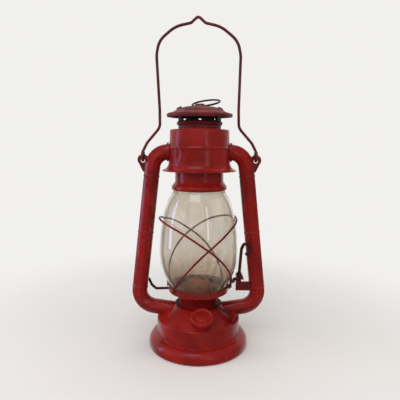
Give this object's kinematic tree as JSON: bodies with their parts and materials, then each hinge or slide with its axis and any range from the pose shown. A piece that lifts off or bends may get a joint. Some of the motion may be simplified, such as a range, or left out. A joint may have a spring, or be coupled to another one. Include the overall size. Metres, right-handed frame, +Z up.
{
  "type": "hurricane lantern",
  "caption": "Red enamelled tubular hurricane lantern: oil tank, side tubes, glass globe in a wire guard, vented hood with a lifting ring, lift lever, wick knob, filler cap and wire bail.",
  "frame": {"origin": "centre of the tank's foot, on the surface that the lantern stands on", "axes": "+Z up, the two side tubes lie in the XZ plane, and the filler cap faces -Y with the lift lever on the +X side"},
  "size_m": [0.15, 0.1114, 0.3576],
  "materials": {
    "red_enamel": "glossy red enamel over steel sheet, with small chips",
    "heat_dulled_enamel": "red enamel dulled brown by heat",
    "sooted_enamel": "red enamel blackened by soot round the vent slots",
    "red_painted_wire": "red paint on steel wire and plate, worn",
    "aged_bail_paint": "dark red-brown paint on steel wire, worn",
    "blackened_steel": "dark, oxidised steel",
    "plated_steel": "dull plated steel",
    "brass": "tarnished",
    "glass": "clear blown glass with a light smoky film",
    "cork_gasket": "dark compressed gasket",
    "cotton_wick": "woven cotton, charred at the tip"
  },
  "bodies": {
    "frame": {"tank_shell": "red_enamel", "tank_bottom": "red_enamel", "filler_neck": "red_enamel", "air_chamber": "red_enamel", "side_tube_left": "red_enamel", "side_tube_right": "red_enamel", "tube_collars": "red_enamel", "canopy_drum": "red_enamel", "canopy_top_plate": "red_enamel", "bail_ear_left": "red_painted_wire", "bail_ear_right": "red_painted_wire", "lever_bracket": "red_painted_wire", "bracket_rivets": "red_painted_wire", "burner_body": "plated_steel", "burner_cone": "plated_steel", "wick_tube": "brass", "shaft_bush": "brass", "hood_spring": "blackened_steel"},
    "globe_cradle": {"globe_plate": "red_enamel", "globe_clips": "red_painted_wire", "globe": "glass", "guard_hoop_left": "red_painted_wire", "guard_hoop_right": "red_painted_wire", "guide_wire": "red_painted_wire", "lift_lug": "red_painted_wire"},
    "hood": {"chimney": "red_enamel", "vent_band": "sooted_enamel", "hood_cap": "heat_dulled_enamel", "cap_tabs": "heat_dulled_enamel", "ring_strap": "heat_dulled_enamel", "strap_rivets": "heat_dulled_enamel"},
    "lifting_ring": {"lifting_ring": "blackened_steel"},
    "lift_lever": {"lift_lever": "red_painted_wire"},
    "bail": {"bail": "aged_bail_paint"},
    "filler_gasket": {"filler_gasket": "cork_gasket"},
    "filler_cap": {"filler_cap": "red_enamel"},
    "wick_drive": {"wick_knob": "red_enamel", "wick_shaft": "blackened_steel", "sprocket_wheels": "plated_steel"},
    "wick": {"wick": "cotton_wick"}
  },
  "joints": [
    {"name": "globe_lift", "type": "slide", "parent": "frame", "child": "globe_cradle", "axis": [0, 0, 1], "range_m": [0, 0.012], "deforming": ["hood_spring"]},
    {"name": "lever_turn", "type": "hinge", "parent": "frame", "child": "lift_lever", "pos_m": [0.043, -0.004, 0.076], "axis": [1, 0, 0], "range_deg": [0, 74]},
    {"name": "hood_lift", "type": "slide", "parent": "globe_cradle", "child": "hood", "axis": [0, 0, 1], "range_m": [0, 0.014], "stiffness_N_per_m": 60, "springref_m": -0.03, "deforming": ["hood_spring"]},
    {"name": "ring_swing", "type": "hinge", "parent": "hood", "child": "lifting_ring", "pos_m": [0, 0, 0.2656], "axis": [0.8829, -0.4695, 0], "range_deg": [-6, 150]},
    {"name": "bail_swing", "type": "hinge", "parent": "frame", "child": "bail", "pos_m": [0, 0, 0.2125], "axis": [1, 0, 0], "range_deg": [-115, 115]},
    {"name": "filler_lift", "type": "slide", "parent": "frame", "child": "filler_gasket", "axis": [0, -0.4067, 0.9135], "range_m": [0, 0.005]},
    {"name": "cap_turn", "type": "hinge", "parent": "filler_gasket", "child": "filler_cap", "pos_m": [0.004, -0.03989, 0.04493], "axis": [0, -0.4067, 0.9135], "range_deg": [0, 905]},
    {"name": "knob_turn", "type": "hinge", "parent": "frame", "child": "wick_drive", "pos_m": [0.01493, -0.01349, 0.05124], "axis": [0.8204, -0.4362, -0.3697], "range_deg": [-112, 172]},
    {"name": "wick_feed", "type": "slide", "parent": "frame", "child": "wick", "axis": [0, 0, 1], "range_m": [-0.00606, 0.00937]}
  ],
  "couplings": [
    {"joint": "lever_turn", "follows": "globe_lift", "rad_per_m": 107.5},
    {"joint": "cap_turn", "follows": "filler_lift", "rad_per_m": 3141.6},
    {"joint": "knob_turn", "follows": "wick_feed", "rad_per_m": 316.46}
  ]
}
